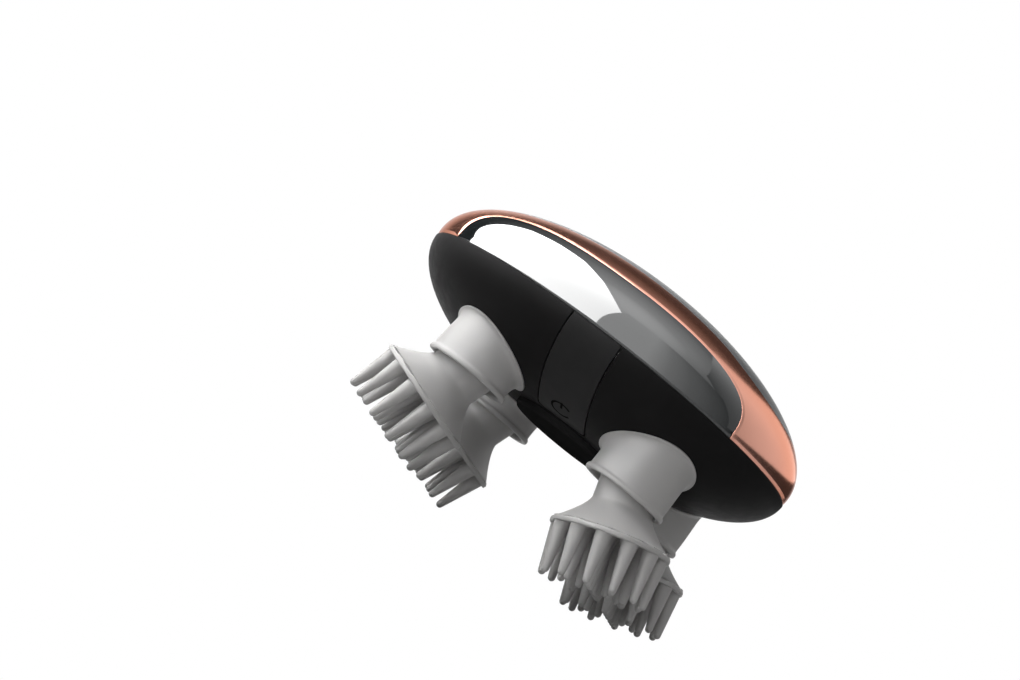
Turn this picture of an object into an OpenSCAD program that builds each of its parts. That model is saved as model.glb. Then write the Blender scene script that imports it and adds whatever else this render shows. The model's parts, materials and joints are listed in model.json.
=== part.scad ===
// Electric scalp massager: a palm-sized pebble with four nutating silicone heads.
// Millimetres, +Z up, fingertips on z = 0, X along the body, -Y the side of the power key.

/* [Body] */
// Overall length of the casing
body_l = 112; // [110:1:124]
// Overall width of the casing
body_w = 94; // [92:1:102]
// Height of the dome above the seam
dome_h = 25; // [25:0.5:31]
// Height of the dome's widest line above the seam
dome_belt = 2; // [1:0.5:3]
// Depth of the flat underside below the seam
bowl_h = 19.3; // [18.5:0.1:20.5]
// Depth that the curve of the bowl would reach if it were not cut flat
bowl_curve_h = 21.3; // [21:0.1:24]
// Wall of both casings
wall = 2; // [1.6:0.1:2.4]
// Depth of the inlays in the dome's wall
inlay_t = 1.2; // [0.8:0.1:1.3]
// Gap round each inlay and round the power key's top
inlay_gap = 0.15; // [0.1:0.05:0.3]
// Distance of the four heads' middle from the casing's middle, towards +X
head_shift = 3; // [0:0.5:4]

/* [Inlays] */
// Length of each side window along the seam
window_l = 88; // [70:1:94]
// Height of each side window
window_h = 14.7; // [10:0.1:16]
// Squareness of the window's arch, 2 for an ellipse
window_n = 3; // [2:0.1:4]
// Height of each window's straight edge above the seam
window_sill = 0.4; // [0.3:0.1:1.5]
// Length of the top panel
panel_l = 100; // [84:1:101]
// Width of the top panel
panel_w = 49; // [40:1:50]

/* [Power key] */
// Width of the key
key_w = 14.2; // [12:0.1:16]
// Distance from the body's middle to the end of the key
key_end_y = 17; // [16.8:0.1:19]
// Radius of the key's lower corners
key_corner_r = 2.2; // [1:0.1:3]
// Gap at each side of the key
key_gap = 0.3; // [0.2:0.05:0.5]
// Gap at the end of the key, which closes as it is pressed
key_end_gap = 0.6; // [0.5:0.1:0.8]
// Radius of the key's hinge pin
key_pin_r = 0.8; // [0.6:0.1:1]
// Distance from the middle to the key's plunger
key_plunger_y = 23.5; // [22:0.5:26]

/* [Underside] */
// Radius of the bottom plate
plate_r = 16; // [14:0.5:16.5]
// Thickness of the bottom plate
plate_t = 1.9; // [1.6:0.1:2.5]
// Chamfer round the bottom plate
plate_chamfer = 0.7; // [0.3:0.1:1]
// Radius of the access hole in the casing's floor
access_r = 9.5; // [8:0.5:10]

/* [Heads] */
// Distance of each head from the middle, along X
head_x = 24.7; // [24:0.1:26]
// Depth of the pivots below the seam
pivot_h = 21.8; // [21.5:0.1:23]
// Lean of each head from upright
tilt = 18; // [12:0.5:18.5]
// Radius of a head's neck
neck_r = 7.7; // [7:0.1:8]
// Distance along the head's axis from the pivot to the start of the flare
neck_h = 6.2; // [6:0.1:7]
// Radius of a head's rim
rim_r = 15.3; // [14:0.1:16]
// Distance from the pivot to the rim's face
rim_h = 15.4; // [15:0.1:17]
// Height of the rim's band
rim_t = 1.3; // [1:0.1:1.6]
// Bend of the flare, 1 for a straight cone
flare_n = 1.4; // [1.2:0.1:2]
// Wall of the silicone
skin_t = 2; // [1.6:0.1:2]
// Distance from the pivot to the fingertips
finger_end = 28; // [26:0.5:31]
// Radius of a finger at its root
finger_r = 2.2; // [1.8:0.1:2.3]
// Radius of a finger's tip
fingertip_r = 0.95; // [0.6:0.05:1.3]

/* [Collars] */
// Radius of a collar's lip
lip_r = 11.5; // [11.3:0.1:12]
// Radius inside a collar's lip
lip_bore_r = 9.95; // [9.9:0.05:10.1]
// Depth of the lips below the pivots
lip_drop = 3.5; // [3:0.1:3.6]
// Radius of a collar's waist
waist_r = 10.95; // [10.8:0.05:11.4]
// Radius of the foot that lies on the casing
foot_r = 13; // [12.8:0.1:14.4]
// Thickness of that foot
foot_t = 1.2; // [0.8:0.1:1.6]
// Gap under that foot
foot_gap = 0.1; // [0.05:0.05:0.2]
// Bore of the sleeve that plugs a collar into the casing
sleeve_bore_r = 9.45; // [9.4:0.05:9.6]

/* [Drive] */
// Module of the sun and output gears
gear_m = 0.8; // [0.8]
// Teeth of the sun gear
sun_z = 60; // [60]
// Teeth of each output gear
output_z = 24; // [24]
// Teeth of the second stage's pinion
pinion_b_z = 12; // [12]
// Module of the two fast stages
fast_m = 0.5; // [0.5]
// Teeth of the two large fast wheels
wheel_z = 50; // [50]
// Teeth of the two small fast pinions
fast_pinion_z = 10; // [10]
// Face width of the sun gear
sun_t = 4; // [3:0.5:4]
// Play between teeth, along the pitch circle
backlash = 0.16; // [0.1:0.02:0.24]
// Radius of a crank's shaft
crank_r = 2.5; // [2:0.1:3]
// Radius of a crank's leaning pin
crank_pin_r = 2; // [1.6:0.1:2.2]
// Wall of the bronze bushes
bush_t = 1; // [0.8:0.1:1.2]
// Running clearance of shafts in bushes and gears
run_gap = 0.04; // [0.02:0.01:0.08]
// Clearance of parts that are fixed in one another
seat_gap = 0.02; // [0.01:0.01:0.04]

/* [Power] */
// Radius of the flat motor
motor_r = 12; // [10:0.5:12]
// Height of the motor
motor_h = 11; // [10:0.1:11.5]
// Radius of a battery cell
cell_r = 7.1; // [7:0.05:7.2]
// Length of a battery cell
cell_l = 50; // [46:0.5:50]
// Distance of each cell from the middle
cell_y = 22; // [21.8:0.1:22.4]

/* [Hidden] */
fine = 96;
medium = 48;
small = 24;
big = 200;
eps = 0.01;

corners = [["front_left", -1, -1], ["front_right", 1, -1], ["back_left", -1, 1], ["back_right", 1, 1]];
head_parts = ["collar", "head_cup", "head_core", "head_bush", "head_clip", "crank", "output_gear"];

// Levels, measured up from the seam
pivot_z = -pivot_h;
lip_z = pivot_z - lip_drop;
bowl_z = -bowl_h;
floor_z = bowl_z + wall;
plate_z = bowl_z - plate_t;
sun_z0 = -5;
sun_z1 = sun_z0 + sun_t;
chassis_t = 2;
chassis_z1 = sun_z0 - 1.2;
chassis_z0 = chassis_z1 - chassis_t;
pot_t = 1.8;
pot_z1 = chassis_z0 - 0.8;
pot_z0 = pot_z1 - pot_t;
pot_boss_z = pot_z0 - 3.2;
wheel_b_z0 = sun_z1 + 2.4;
wheel_b_t = 2.6;
wheel_b_z1 = wheel_b_z0 + wheel_b_t;
wheel_a_z0 = wheel_b_z1 + 1.2;
wheel_a_t = 2.4;
wheel_a_z1 = wheel_a_z0 + wheel_a_t;
motor_plate_t = 1.6;
motor_plate_z0 = wheel_a_z1 + 1;
motor_plate_z1 = motor_plate_z0 + motor_plate_t;

// Height of the seam above the fingertips
finger_rings = [[12, 12.9], [8, 7.9], [4, 3.3]];
finger_ring_r = finger_rings[0][1];
tip_centre_h = finger_end - fingertip_r;
seam_z = pivot_h + tip_centre_h * cos(tilt) + finger_ring_r * sin(tilt) + fingertip_r;

// Gear centres: the sun in the middle, the outputs at the heads, the train along +X
sun_pr = gear_m * sun_z / 2;
output_pr = gear_m * output_z / 2;
head_reach = sun_pr + output_pr;
head_y = sqrt(pow(head_reach, 2) - pow(head_x, 2));
fast_step = fast_m * (wheel_z + fast_pinion_z) / 2;
gear_b_x = sun_pr + gear_m * pinion_b_z / 2;
gear_a_x = gear_b_x - fast_step;
motor_x = gear_a_x - fast_step;

// Holes and pins
sun_axle_r = 2;
gear_b_axle_r = 1.2;
gear_a_axle_r = 1;
motor_shaft_r = 1;
bush_r = crank_r + run_gap + bush_t;
head_bush_r = crank_pin_r + run_gap + bush_t;
screw_r = 1;
screw_head_r = 1.9;
screw_head_h = 1.3;

// Power key: its hinge lies just inside the wall, under the seam
hinge_y = -(body_w / 2 - wall - 2 * key_pin_r);
hinge_z = -2.2;
knuckle_r = key_pin_r + 0.7;
lug_x0 = key_w / 2 + key_gap + 0.3;
lug_x1 = lug_x0 + 2.4;
key_plunger_top = -14.3;
switch_z0 = key_plunger_top + 1.2;
switch_h = 3.5;
switch_board_t = 1;
switch_board_z0 = switch_z0 + switch_h;

// Chassis
end_post_x = body_l / 2 - 15;
chassis_posts = [
  [-end_post_x - head_shift, 0], [end_post_x - head_shift, 0],
  [-11.5, 30], [11.5, 30], [-11.5, -30], [11.5, -30]
];
post_r = 2.9;
pillar_spots = [[-31, -8], [-31, 8], [41, -11], [41, 11]];
pillar_r = 2.2;
screw_sink = 0.6;
motor_plate_x0 = -35;
motor_plate_x1 = 44;
motor_plate_w = 27;
cell_z = motor_plate_z0 - 0.2;
board_x0 = 14;
board_x1 = 38;
board_w = 20;
board_t = 1.2;
board_z0 = motor_plate_z1 + 2.2;
port_w = 9.2;
port_h = 3.4;
port_z = -3.6;

// ---------- shared shapes ----------

// Everything is drawn about the middle of the heads, at the level of the seam
module at_seam() {
  translate([head_shift, 0, seam_z]) children();
}

module in_casing() {
  translate([-head_shift, 0, 0]) children();
}

module ellipsoid(a, b, c) {
  scale([a, b, c]) sphere(1, $fn = fine);
}

module slab(z0, z1) {
  translate([-big / 2, -big / 2, z0]) cube([big, big, z1 - z0]);
}

// A disc or ring about the Z axis between two levels
module ring(r, bore, z0, z1, n = medium) {
  difference() {
    translate([0, 0, z0]) cylinder(h = z1 - z0, r = r, $fn = n);
    if (bore > 0) translate([0, 0, z0 - 1]) cylinder(h = z1 - z0 + 2, r = bore, $fn = n);
  }
}

module rounded_rect(l, w, r) {
  square([l - 2 * r, w], center = true);
  square([l, w - 2 * r], center = true);
  for (x = [-1, 1], y = [-1, 1]) translate([x * (l / 2 - r), y * (w / 2 - r)]) circle(r, $fn = small);
}

module dome_curve(inset) {
  translate([-head_shift, 0, dome_belt])
    ellipsoid(body_l / 2 - inset, body_w / 2 - inset, dome_h - dome_belt - inset);
}

module bowl_curve(inset) {
  in_casing() ellipsoid(body_l / 2 - inset, body_w / 2 - inset, bowl_curve_h - inset);
}

// The dome's solid, shrunk by an inset, from a level upwards
module dome_solid(inset, z0 = 0) {
  intersection() {
    dome_curve(inset);
    slab(z0, big);
  }
}

// The bowl's solid, shrunk by an inset and cut flat underneath
module bowl_solid(inset, z1 = 0) {
  intersection() {
    bowl_curve(inset);
    slab(bowl_z + inset, z1);
  }
}

module bowl_shell() {
  difference() {
    bowl_solid(0);
    bowl_solid(wall, 1);
  }
}

// The outer layer of the dome, in which the inlays lie
module dome_layer(depth) {
  difference() {
    dome_solid(0);
    dome_solid(depth);
  }
}

// Spur gear: involute flanks drawn through the root, the pitch circle and the tip
function involute(rb, r) = r <= rb ? 0 : tan(acos(rb / r)) * 180 / PI - acos(rb / r);
function half_tooth(m, z, r) =
  90 / z - backlash * 90 / (PI * m * z) + involute(m * z / 2 * cos(20), m * z / 2)
  - involute(m * z / 2 * cos(20), r);
function gear_points(m, z) = [
  for (i = [0 : z - 1])
    let (rp = m * z / 2, radii = [rp - 1.2 * m, rp, rp + 0.95 * m])
      for (k = [0 : 5])
        let (
          r = radii[k < 3 ? k : 5 - k],
          side = k < 3 ? -1 : 1,
          a = i * 360 / z + side * half_tooth(m, z, r)
        ) [r * cos(a), r * sin(a)]
];

module gear(m, z, z0, t, turn = 0) {
  translate([0, 0, z0]) rotate([0, 0, turn]) linear_extrude(t) polygon(gear_points(m, z));
}

// Pan-head screw, head up at the given level, shank downwards
module screw(z, length) {
  translate([0, 0, z]) difference() {
    cylinder(h = screw_head_h, r = screw_head_r, $fn = small);
    translate([-screw_head_r * 0.6, -0.2, screw_head_h - 0.5]) cube([screw_head_r * 1.2, 0.4, 1]);
    translate([-0.2, -screw_head_r * 0.6, screw_head_h - 0.5]) cube([0.4, screw_head_r * 1.2, 1]);
  }
  translate([0, 0, z - length]) cylinder(h = length + eps, r = screw_r, $fn = small);
}

module screw_hole(z0, z1) {
  translate([0, 0, z0]) cylinder(h = z1 - z0, r = screw_r + seat_gap, $fn = small);
}

module at_head(c) {
  translate([c[1] * head_x, c[2] * head_y, 0]) children();
}

// A head's own frame: origin at its pivot, -Z along its leaning axis
module on_head(c) {
  translate([c[1] * head_x, c[2] * head_y, pivot_z]) rotate([0, -c[1] * tilt, 0]) children();
}

// ---------- casing ----------

// Outline of a side window, arched over its straight sill
module window_outline(gap) {
  steps = 24;
  a = window_l / 2 + gap;
  h = window_h + gap;
  polygon([
    for (i = [0 : steps])
      let (t = 180 * i / steps, s = pow(abs(cos(t)), 2 / window_n), u = pow(sin(t), 2 / window_n))
        [a * (cos(t) >= 0 ? s : -s), window_sill - gap + (h + gap) * u]
  ]);
}

module window_prism(side, gap) {
  in_casing() rotate([90, 0, 0]) translate([0, 0, side < 0 ? 1 : -big / 2])
    linear_extrude(big / 2 - 1) window_outline(gap);
}

module panel_prism(gap) {
  in_casing() linear_extrude(big / 2) {
    square([panel_l - panel_w, panel_w + 2 * gap], center = true);
    for (x = [-1, 1]) translate([x * (panel_l - panel_w) / 2, 0]) circle(panel_w / 2 + gap, $fn = fine);
  }
}

// The joint ring is welded inside the dome, and catches in the bowl click into its slots
catch_angles = [0, 50, 130, 180, 230, 310];
catch_z0 = -1.7;
catch_z1 = -0.7;
joint_drop = 2.5;
joint_rise = 2;
joint_gap = 0.48;
joint_t = 1.1;
joint_break = lug_x1 + 1.5;

// Block that straddles the bowl's inner wall at an angle round the rim, or the slot for it
module catch_block(a, l, inner, outer, play) {
  x = (body_l / 2 - wall) * cos(a);
  y = (body_w / 2 - wall) * sin(a);
  in_casing() translate([x, y, catch_z0 - play])
    rotate([0, 0, atan2(y * pow(body_l, 2), x * pow(body_w, 2))])
      translate([-inner, -l / 2, 0]) cube([inner + outer, l, catch_z1 - catch_z0 + 2 * play]);
}

// Elliptical drum concentric with the casing
module drum(inset, z0, z1) {
  in_casing() translate([0, 0, z0]) scale([body_l / 2 - inset, body_w / 2 - inset, 1])
    cylinder(h = z1 - z0, r = 1, $fn = fine);
}

module joint_ring() {
  port_top = port_z + port_h / 2 + 0.3;
  color("#2b2b2c") at_seam() difference() {
    drum(wall + joint_gap, -joint_drop, joint_rise);
    drum(wall + joint_gap + joint_t, -joint_drop - 1, joint_rise + 1);
    translate([-joint_break, -body_w, -joint_drop - 1])
      cube([2 * joint_break, body_w, joint_drop + 1.1]);
    translate([-port_w / 2 - 0.4, 0, -joint_drop - 1])
      cube([port_w + 0.8, body_w, joint_drop + 1 + port_top]);
    for (a = catch_angles) catch_block(a, 6.4, joint_gap + joint_t + 1, 1, 0.2);
  }
}

module upper_shell() {
  color("#8c5040") at_seam() {
    difference() {
      dome_solid(0);
      dome_solid(wall, -1);
      for (side = [-1, 1]) difference() {
        window_prism(side, inlay_gap);
        dome_curve(inlay_t + inlay_gap);
      }
      difference() {
        panel_prism(inlay_gap);
        dome_curve(inlay_t + inlay_gap);
      }
    }
  }
}

module top_panel() {
  color("#33363a") at_seam() intersection() {
    dome_layer(inlay_t);
    panel_prism(0);
  }
}

module window_front() {
  color("#101416") at_seam() intersection() {
    dome_layer(inlay_t);
    window_prism(-1, 0);
  }
}

module window_back() {
  color("#101416") at_seam() intersection() {
    dome_layer(inlay_t);
    window_prism(1, 0);
  }
}

// Plan of the key, and of its slot when a gap is given
module key_plan(side_gap, end_gap) {
  w = key_w / 2 + side_gap;
  y1 = -key_end_y + end_gap;
  r = key_corner_r + side_gap;
  translate([-w, -body_w]) square([2 * w, body_w + y1 - r]);
  translate([-w + r, y1 - r - eps]) square([2 * (w - r), r + eps]);
  for (x = [-1, 1]) translate([x * (w - r), y1 - r]) circle(r, $fn = small);
}

module head_pot(c) {
  at_head(c) {
    translate([0, 0, bowl_z - 1]) cylinder(h = pot_z1 - bowl_z + 1, r = foot_r - 2, $fn = medium);
  }
}

sleeve_r = sleeve_bore_r + 0.75;
pot_bore_r = sleeve_r + 0.1;

module lower_housing() {
  color("#1d1d1e") at_seam() difference() {
    union() {
      bowl_shell();
      intersection() {
        bowl_solid(0.5);
        union() {
          for (c = corners) head_pot(c);
          for (p = chassis_posts)
            translate([p[0], p[1], bowl_z]) cylinder(h = chassis_z0 - bowl_z, r = post_r, $fn = small);
          for (a = catch_angles) catch_block(a, 6, joint_gap + 0.7, 1, 0);
        }
      }
      for (c = corners) at_head(c) ring(bush_r + 1.5, 0, pot_boss_z, pot_z0 + eps);
      for (x = [-1, 1]) key_lug(x);
    }
    for (c = corners) at_head(c) {
      ring(pot_bore_r, bush_r + 1.5, bowl_z - 5, pot_z0);
      translate([0, 0, bowl_z - 5]) cylinder(h = pot_boss_z - bowl_z + 5, r = pot_bore_r, $fn = medium);
      translate([0, 0, pot_boss_z - 1]) cylinder(h = 10, r = bush_r + seat_gap, $fn = medium);
    }
    translate([0, 0, bowl_z - 2]) linear_extrude(bowl_h + 3) key_plan(key_gap, key_end_gap);
    for (p = chassis_posts) translate([p[0], p[1], 0]) screw_hole(chassis_z0 - 4.2, chassis_z0 + 1);
    translate([0, 0, bowl_z - 1]) cylinder(h = wall + 2, r = access_r, $fn = medium);
    for (a = plate_screw_angles) rotate([0, 0, a]) translate([plate_screw_r, 0, 0])
      screw_hole(bowl_z - 1, floor_z + 1);
    translate([0, big / 4, port_z]) rotate([90, 0, 0]) linear_extrude(big / 2, center = true)
      rounded_rect(port_w + 0.4, port_h + 0.4, port_h / 2 + 0.19);
    translate([-lug_x1, hinge_y, hinge_z]) rotate([0, 90, 0])
      cylinder(h = 2 * lug_x1, r = key_pin_r + seat_gap, $fn = small);
  }
}

// Lug beside the key that carries its hinge pin
module key_lug(x) {
  intersection() {
    bowl_solid(0.5);
    translate([x > 0 ? lug_x0 : -lug_x1, -body_w / 2, hinge_z - knuckle_r - 0.4])
      cube([lug_x1 - lug_x0, body_w / 2 + hinge_y + knuckle_r, 2 * knuckle_r + 0.6]);
  }
}

module power_key() {
  color("#262627") at_seam() difference() {
    union() {
      intersection() {
        bowl_shell();
        translate([0, 0, bowl_z - 1]) linear_extrude(bowl_h + 1 - inlay_gap) key_plan(0, 0);
      }
      translate([-lug_x0 + 1.2, hinge_y, hinge_z]) rotate([0, 90, 0])
        cylinder(h = 2 * lug_x0 - 2.4, r = knuckle_r, $fn = small);
      intersection() {
        bowl_solid(0.5);
        translate([-lug_x0 + 2, -body_w / 2, hinge_z - knuckle_r * 0.7])
          cube([2 * lug_x0 - 4, body_w / 2 + hinge_y, knuckle_r * 1.4]);
      }
      intersection() {
        bowl_solid(0.5);
        translate([0, -key_plunger_y, bowl_z]) cylinder(h = key_plunger_top - bowl_z, r = 1.6, $fn = small);
      }
    }
    translate([-big / 2, hinge_y, hinge_z]) rotate([0, 90, 0])
      cylinder(h = big, r = key_pin_r + run_gap, $fn = small);
  }
}

module key_hinge_pin() {
  color("silver") at_seam() translate([-lug_x1 + 0.2, hinge_y, hinge_z]) rotate([0, 90, 0])
    cylinder(h = 2 * lug_x1 - 0.4, r = key_pin_r, $fn = small);
}

// ---------- underside ----------

plate_screw_r = 12.2;
plate_screw_angles = [30, 150, 270];
gasket_r = 14.4;
gasket_t = 0.7;

module bottom_plate() {
  color("#3a3a3b") at_seam() difference() {
    union() {
      translate([0, 0, plate_z + plate_chamfer])
        cylinder(h = plate_t - plate_chamfer, r = plate_r, $fn = fine);
      translate([0, 0, plate_z])
        cylinder(h = plate_chamfer + eps, r1 = plate_r - plate_chamfer, r2 = plate_r, $fn = fine);
      ring(access_r - 0.1, access_r - 1.6, bowl_z - eps, floor_z);
    }
    ring(gasket_r + 0.5, gasket_r - 0.5, bowl_z - gasket_t, bowl_z + 0.1);
    for (a = plate_screw_angles) rotate([0, 0, a]) translate([plate_screw_r, 0, 0])
      screw_hole(bowl_z - 1.3, bowl_z + 1);
  }
}

module bottom_gasket() {
  color("#202020") at_seam() ring(gasket_r + 0.45, gasket_r - 0.45, bowl_z - gasket_t, bowl_z);
}

module bottom_plate_screws() {
  color("silver") at_seam() for (a = plate_screw_angles) rotate([0, 0, a])
    translate([plate_screw_r, 0, 0]) screw(floor_z, wall + 1.2);
}

// ---------- heads ----------

module collar(c) {
  color("#b0aeac") at_seam() {
    difference() {
      union() {
        at_head(c) rotate_extrude($fn = fine) polygon([
          [0, lip_z], [lip_r - 0.5, lip_z], [lip_r, lip_z + 0.4], [lip_r, lip_z + 0.9],
          [waist_r, lip_z + 2.2], [waist_r, lip_z + 4], [waist_r + 0.3, lip_z + 6],
          [waist_r + 0.7, lip_z + 8], [waist_r + 1.3, lip_z + 10.5], [waist_r + 1.6, 0], [0, 0]
        ]);
        intersection() {
          bowl_solid(-foot_t);
          at_head(c) translate([0, 0, lip_z]) cylinder(h = -lip_z, r = foot_r, $fn = fine);
        }
      }
      bowl_solid(-foot_gap, 1);
      at_head(c) translate([0, 0, lip_z - 1])
        cylinder(h = -lip_z, r = sleeve_bore_r + 0.02, $fn = medium);
      at_head(c) translate([0, 0, lip_z - eps])
        cylinder(h = lip_drop, r1 = lip_bore_r, r2 = sleeve_bore_r, $fn = medium);
    }
    at_head(c) ring(sleeve_r, sleeve_bore_r, pivot_z, pot_boss_z - 0.5);
  }
}

// Silicone cup: neck, flare, rim band and three rings of fingers
module head_cup(c) {
  steps = 8;
  rim_top = rim_h - rim_t;
  face_h = rim_h - 1.2;
  color("#b5b3b2") at_seam() on_head(c) {
    difference() {
      rotate_extrude($fn = fine) polygon(concat(
        [[0, 1.5], [neck_r, 1.5], [neck_r, -neck_h]],
        [for (i = [1 : steps]) let (t = i / steps)
          [neck_r + (rim_r - 0.3 - neck_r) * pow(t, flare_n), -neck_h - (rim_top - neck_h) * t]],
        [[rim_r, -rim_top - 0.3], [rim_r, -rim_h + 0.3], [rim_r - 0.3, -rim_h],
         [rim_r - 1.3, -rim_h], [rim_r - 1.7, -face_h], [0, -face_h]]
      ));
      ring(core_r + seat_gap, 0, -core_end, 2, medium);
      ring(core_flange_r + seat_gap, 0, -core_end, -core_end + core_flange_t + seat_gap, medium);
    }
    for (ring_row = finger_rings) for (i = [0 : ring_row[0] - 1])
      rotate([0, 0, i * 360 / ring_row[0]]) translate([ring_row[1], 0, 0]) finger(face_h - 0.5);
  }
}

module finger(root_h) {
  translate([0, 0, -tip_centre_h])
    cylinder(h = tip_centre_h - root_h, r1 = fingertip_r, r2 = finger_r, $fn = small);
  translate([0, 0, -tip_centre_h]) sphere(fingertip_r, $fn = small);
}

core_r = neck_r - skin_t;
core_end = rim_h - 2.4;
core_flange_r = 9.4;
core_flange_t = 1.4;
pin_start = 3.2;
pin_end = 11.2;
clip_h = 9.9;
clip_t = 0.6;

// Rigid hub moulded into a cup
module head_core(c) {
  color("#8f9092") at_seam() on_head(c) difference() {
    union() {
      ring(core_r, 0, -core_end, 1.5);
      ring(core_flange_r, 0, -core_end, -core_end + core_flange_t);
    }
    ring(core_r - 1.1, 0, -pin_start, 3);
    ring(head_bush_r + seat_gap, 0, -clip_h + 0.1, -pin_start + 1);
    ring(core_r - 1.3, 0, -core_end - 1, -clip_h + 0.2);
  }
}

module head_bush(c) {
  color("#b58a4a") at_seam() on_head(c)
    ring(head_bush_r, crank_pin_r + run_gap, -clip_h + 0.3, -pin_start);
}

module head_clip(c) {
  color("#c9ccd0") at_seam() on_head(c)
    ring(crank_pin_r + 1.2, crank_pin_r - 0.5 + seat_gap, -clip_h - clip_t, -clip_h, small);
}

// Crank: upright shaft down to the pivot, leaning pin below it
module crank(c) {
  color("#c9ccd0") at_seam() {
    at_head(c) {
      translate([0, 0, pivot_z]) cylinder(h = sun_z1 + 0.6 - pivot_z, r = crank_r, $fn = medium);
      ring(crank_r + 1, 0, pot_boss_z - 1.2, pot_boss_z - 0.3);
      translate([0, 0, pivot_z]) sphere(crank_r, $fn = medium);
    }
    on_head(c) difference() {
      translate([0, 0, -pin_end]) cylinder(h = pin_end, r = crank_pin_r, $fn = medium);
      ring(crank_pin_r + 1, crank_pin_r - 0.5, -clip_h - clip_t - 0.05, -clip_h + 0.05);
    }
  }
}

module output_gear(c) {
  theta = atan2(c[2] * head_y, c[1] * head_x);
  turn = theta + 180 + 180 / output_z + theta * sun_z / output_z;
  color("#e8e6de") at_seam() at_head(c) difference() {
    gear(gear_m, output_z, sun_z0, sun_t, turn);
    translate([0, 0, sun_z0 - 1]) cylinder(h = sun_t + 2, r = crank_r + seat_gap, $fn = medium);
  }
}

// ---------- chassis and drive ----------

module chassis_plate() {
  k = sqrt(1 - pow(chassis_z0 / (bowl_curve_h - wall), 2));
  color("#d8d6cf") at_seam() difference() {
    drum(wall + (1 - k) * body_w / 2 + 1.2, chassis_z0, chassis_z1);
    for (c = corners) at_head(c) translate([0, 0, chassis_z0 - 1])
      cylinder(h = chassis_t + 2, r = bush_r + seat_gap, $fn = medium);
    for (p = concat(chassis_posts, pillar_spots)) translate([p[0], p[1], 0])
      screw_hole(chassis_z0 - 1, chassis_z1 + 1);
    for (p = pillar_spots) translate([p[0], p[1], chassis_z0 - 1])
      cylinder(h = 1 + screw_sink, r = screw_head_r + 0.15, $fn = small);
    translate([0, 0, chassis_z0 - 1]) cylinder(h = 4, r = sun_axle_r + seat_gap, $fn = medium);
    translate([gear_b_x, 0, chassis_z0 - 1]) cylinder(h = 4, r = gear_b_axle_r + seat_gap, $fn = small);
    translate([-7.5, body_w / 2 - 13.5, chassis_z0 - 1]) cube([15, 20, chassis_t + 2]);
    translate([-lug_x1 - 0.6, -body_w / 2, chassis_z0 - 1]) cube([2 * lug_x1 + 1.2, 10.5, chassis_t + 2]);
  }
}

module chassis_screws() {
  color("silver") at_seam() for (p = chassis_posts) translate([p[0], p[1], 0])
    screw(chassis_z1, chassis_t + 4);
}

// Two bushes to each crank, one in the chassis plate and one in the housing
module crank_bushes() {
  color("#b58a4a") at_seam() for (c = corners) at_head(c) {
    ring(bush_r, crank_r + run_gap, chassis_z0, chassis_z1 + 0.8);
    ring(bush_r + 1, crank_r + run_gap, chassis_z1, chassis_z1 + 0.8);
    ring(bush_r, crank_r + run_gap, pot_boss_z, pot_z1);
  }
}

module motor_plate() {
  color("#aeb2b6") at_seam() difference() {
    translate([(motor_plate_x0 + motor_plate_x1) / 2, 0, motor_plate_z0])
      linear_extrude(motor_plate_t)
        rounded_rect(motor_plate_x1 - motor_plate_x0, motor_plate_w, 4);
    translate([motor_x, 0, motor_plate_z0 - 1]) cylinder(h = 5, r = 3.1, $fn = medium);
    for (y = [-8, 8]) translate([motor_x, y, 0]) screw_hole(motor_plate_z0 - 1, motor_plate_z1 + 1);
    for (p = pillar_spots) translate([p[0], p[1], 0]) {
      screw_hole(motor_plate_z0 - 1, motor_plate_z1 + 1);
      ring(screw_head_r + 0.15, 0, motor_plate_z1 - screw_sink, motor_plate_z1 + 1, small);
    }
    translate([gear_b_x, 0, motor_plate_z0 - 1]) cylinder(h = 4, r = gear_b_axle_r + seat_gap, $fn = small);
    translate([gear_a_x, 0, motor_plate_z0 - 1]) cylinder(h = 4, r = gear_a_axle_r + seat_gap, $fn = small);
  }
}

module plate_pillars() {
  color("#c9ccd0") at_seam() for (p = pillar_spots) translate([p[0], p[1], 0]) difference() {
    ring(pillar_r, 0, chassis_z1, motor_plate_z0, small);
    screw_hole(motor_plate_z0 - 4.2, motor_plate_z0 + 1);
    screw_hole(chassis_z1 - 1, chassis_z1 + 4.2);
  }
}

// Screws at both ends of the pillars, and two up into the motor
module plate_screws() {
  color("silver") at_seam() {
    for (p = pillar_spots) translate([p[0], p[1], 0]) {
      screw(motor_plate_z1 - screw_sink, motor_plate_t + 4 - screw_sink);
      translate([0, 0, chassis_z0 + screw_sink]) mirror([0, 0, 1]) screw(0, chassis_t + 4 - screw_sink);
    }
    for (y = [-8, 8]) translate([motor_x, y, motor_plate_z0])
      mirror([0, 0, 1]) screw(0, motor_plate_t + 2.4);
  }
}

module sun_gear() {
  color("#e8e6de") at_seam() difference() {
    gear(gear_m, sun_z, sun_z0, sun_t);
    translate([0, 0, sun_z0 - 1]) cylinder(h = sun_t + 2, r = sun_axle_r + run_gap, $fn = medium);
    ring(sun_pr - 3, 5, sun_z1 - 1.2, sun_z1 + 1);
    for (a = [30 : 60 : 330]) rotate([0, 0, a]) translate([(sun_pr + 2) / 2, 0, sun_z0 - 1])
      cylinder(h = sun_t + 2, r = 4, $fn = small);
  }
}

module sun_axle() {
  color("#c9ccd0") at_seam() {
    ring(sun_axle_r, 0, chassis_z0 - 0.8, sun_z1 + 0.6);
    ring(sun_axle_r + 1.6, 0, chassis_z0 - 1.2, chassis_z0);
    ring(sun_axle_r + 1.6, sun_axle_r - eps, chassis_z1, sun_z0 - 0.2);
  }
}

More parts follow.
